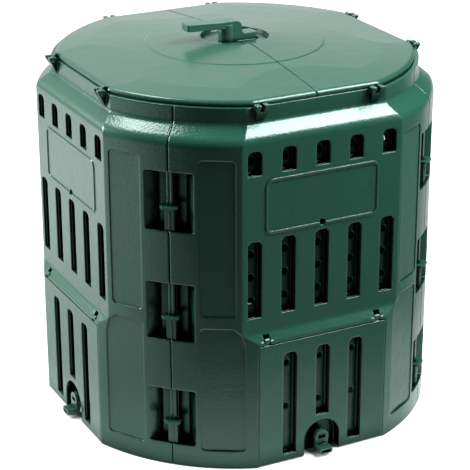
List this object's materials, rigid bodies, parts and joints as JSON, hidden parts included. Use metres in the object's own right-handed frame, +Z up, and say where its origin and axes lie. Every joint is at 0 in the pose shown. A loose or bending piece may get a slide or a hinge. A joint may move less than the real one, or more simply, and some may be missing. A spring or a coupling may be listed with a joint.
{
  "type": "thermal composter",
  "caption": "Round-cornered thermal compost bin of clipped wall panels, with a vented hatch at the foot of each side and a two-part hinged lid with a turn handle.",
  "frame": {"origin": "centre of the footprint, on the ground", "axes": "+Z up; the front panel faces -Y and the lid's handle lies along X, with its arm towards -X"},
  "size_m": [0.8266, 0.8266, 0.8373],
  "materials": {
    "body_green": "glossy moulded plastic with a light orange-peel texture, dark green",
    "fitting_green": "glossy moulded plastic, dark green",
    "pin_steel": "plain galvanised steel"
  },
  "bodies": {
    "shell": {"wall_front": "body_green", "wall_right": "body_green", "wall_back": "body_green", "wall_left": "body_green", "hatch_pins_front": "pin_steel", "hatch_pins_right": "pin_steel", "hatch_pins_back": "pin_steel", "hatch_pins_left": "pin_steel", "lid_pins_left": "pin_steel", "lid_pins_right": "pin_steel", "vents_front": "body_green", "sill_front": "body_green", "vents_right": "body_green", "sill_right": "body_green", "vents_back": "body_green", "sill_back": "body_green", "vents_left": "body_green", "sill_left": "body_green"},
    "hatch_front_flap": {"hatch_front": "body_green", "hatch_vents_front": "body_green"},
    "latch_front_turn": {"latch_front": "fitting_green", "cam_front": "fitting_green", "cam_screw_front": "pin_steel"},
    "hatch_right_flap": {"hatch_right": "body_green", "hatch_vents_right": "body_green"},
    "latch_right_turn": {"latch_right": "fitting_green", "cam_right": "fitting_green", "cam_screw_right": "pin_steel"},
    "hatch_back_flap": {"hatch_back": "body_green", "hatch_vents_back": "body_green"},
    "latch_back_turn": {"latch_back": "fitting_green", "cam_back": "fitting_green", "cam_screw_back": "pin_steel"},
    "hatch_left_flap": {"hatch_left": "body_green", "hatch_vents_left": "body_green"},
    "latch_left_turn": {"latch_left": "fitting_green", "cam_left": "fitting_green", "cam_screw_left": "pin_steel"},
    "clip_front_right_low_body": {"clip_front_right_low": "fitting_green"},
    "clip_front_right_mid_body": {"clip_front_right_mid": "fitting_green"},
    "clip_front_right_top_body": {"clip_front_right_top": "fitting_green"},
    "clip_back_right_low_body": {"clip_back_right_low": "fitting_green"},
    "clip_back_right_mid_body": {"clip_back_right_mid": "fitting_green"},
    "clip_back_right_top_body": {"clip_back_right_top": "fitting_green"},
    "clip_back_left_low_body": {"clip_back_left_low": "fitting_green"},
    "clip_back_left_mid_body": {"clip_back_left_mid": "fitting_green"},
    "clip_back_left_top_body": {"clip_back_left_top": "fitting_green"},
    "clip_front_left_low_body": {"clip_front_left_low": "fitting_green"},
    "clip_front_left_mid_body": {"clip_front_left_mid": "fitting_green"},
    "clip_front_left_top_body": {"clip_front_left_top": "fitting_green"},
    "lid_left_half": {"lid_left": "body_green", "crown_left": "body_green", "dish_left": "body_green"},
    "lid_right_half": {"lid_right": "body_green", "crown_right": "body_green", "dish_right": "body_green"},
    "handle_turn": {"handle": "body_green", "handle_washer": "pin_steel", "handle_screw": "pin_steel"}
  },
  "joints": [
    {"name": "hatch_front_hinge", "type": "hinge", "parent": "shell", "child": "hatch_front_flap", "pos_m": [0, -0.387, 0.281], "axis": [-1, 0, 0], "range_deg": [0, 110]},
    {"name": "latch_front_pivot", "type": "hinge", "parent": "hatch_front_flap", "child": "latch_front_turn", "pos_m": [0, -0.375, 0.036], "axis": [0, -1, 0], "range_deg": [0, 90]},
    {"name": "hatch_right_hinge", "type": "hinge", "parent": "shell", "child": "hatch_right_flap", "pos_m": [0.387, 0, 0.281], "axis": [0, -1, 0], "range_deg": [0, 110]},
    {"name": "latch_right_pivot", "type": "hinge", "parent": "hatch_right_flap", "child": "latch_right_turn", "pos_m": [0.375, 0, 0.036], "axis": [1, 0, 0], "range_deg": [0, 90]},
    {"name": "hatch_back_hinge", "type": "hinge", "parent": "shell", "child": "hatch_back_flap", "pos_m": [0, 0.387, 0.281], "axis": [1, 0, 0], "range_deg": [0, 110]},
    {"name": "latch_back_pivot", "type": "hinge", "parent": "hatch_back_flap", "child": "latch_back_turn", "pos_m": [0, 0.375, 0.036], "axis": [0, 1, 0], "range_deg": [0, 90]},
    {"name": "hatch_left_hinge", "type": "hinge", "parent": "shell", "child": "hatch_left_flap", "pos_m": [-0.387, 0, 0.281], "axis": [0, 1, 0], "range_deg": [0, 110]},
    {"name": "latch_left_pivot", "type": "hinge", "parent": "hatch_left_flap", "child": "latch_left_turn", "pos_m": [-0.375, 0, 0.036], "axis": [-1, 0, 0], "range_deg": [0, 90]},
    {"name": "clip_front_right_low_slide", "type": "slide", "parent": "shell", "child": "clip_front_right_low_body", "axis": [0, 0, 1], "range_m": [0, 0.068]},
    {"name": "clip_front_right_mid_slide", "type": "slide", "parent": "shell", "child": "clip_front_right_mid_body", "axis": [0, 0, 1], "range_m": [0, 0.068]},
    {"name": "clip_front_right_top_slide", "type": "slide", "parent": "shell", "child": "clip_front_right_top_body", "axis": [0, 0, 1], "range_m": [0, 0.068]},
    {"name": "clip_back_right_low_slide", "type": "slide", "parent": "shell", "child": "clip_back_right_low_body", "axis": [0, 0, 1], "range_m": [0, 0.068]},
    {"name": "clip_back_right_mid_slide", "type": "slide", "parent": "shell", "child": "clip_back_right_mid_body", "axis": [0, 0, 1], "range_m": [0, 0.068]},
    {"name": "clip_back_right_top_slide", "type": "slide", "parent": "shell", "child": "clip_back_right_top_body", "axis": [0, 0, 1], "range_m": [0, 0.068]},
    {"name": "clip_back_left_low_slide", "type": "slide", "parent": "shell", "child": "clip_back_left_low_body", "axis": [0, 0, 1], "range_m": [0, 0.068]},
    {"name": "clip_back_left_mid_slide", "type": "slide", "parent": "shell", "child": "clip_back_left_mid_body", "axis": [0, 0, 1], "range_m": [0, 0.068]},
    {"name": "clip_back_left_top_slide", "type": "slide", "parent": "shell", "child": "clip_back_left_top_body", "axis": [0, 0, 1], "range_m": [0, 0.068]},
    {"name": "clip_front_left_low_slide", "type": "slide", "parent": "shell", "child": "clip_front_left_low_body", "axis": [0, 0, 1], "range_m": [0, 0.068]},
    {"name": "clip_front_left_mid_slide", "type": "slide", "parent": "shell", "child": "clip_front_left_mid_body", "axis": [0, 0, 1], "range_m": [0, 0.068]},
    {"name": "clip_front_left_top_slide", "type": "slide", "parent": "shell", "child": "clip_front_left_top_body", "axis": [0, 0, 1], "range_m": [0, 0.068]},
    {"name": "lid_left_hinge", "type": "hinge", "parent": "shell", "child": "lid_left_half", "pos_m": [-0.3625, 0, 0.761], "axis": [0, -1, 0], "range_deg": [0, 100]},
    {"name": "lid_right_hinge", "type": "hinge", "parent": "shell", "child": "lid_right_half", "pos_m": [0.3625, 0, 0.761], "axis": [0, 1, 0], "range_deg": [0, 100]},
    {"name": "handle_pivot", "type": "hinge", "parent": "lid_left_half", "child": "handle_turn", "pos_m": [-0.019, 0, 0.795], "axis": [0, 0, 1], "range_deg": [0, 90]}
  ]
}
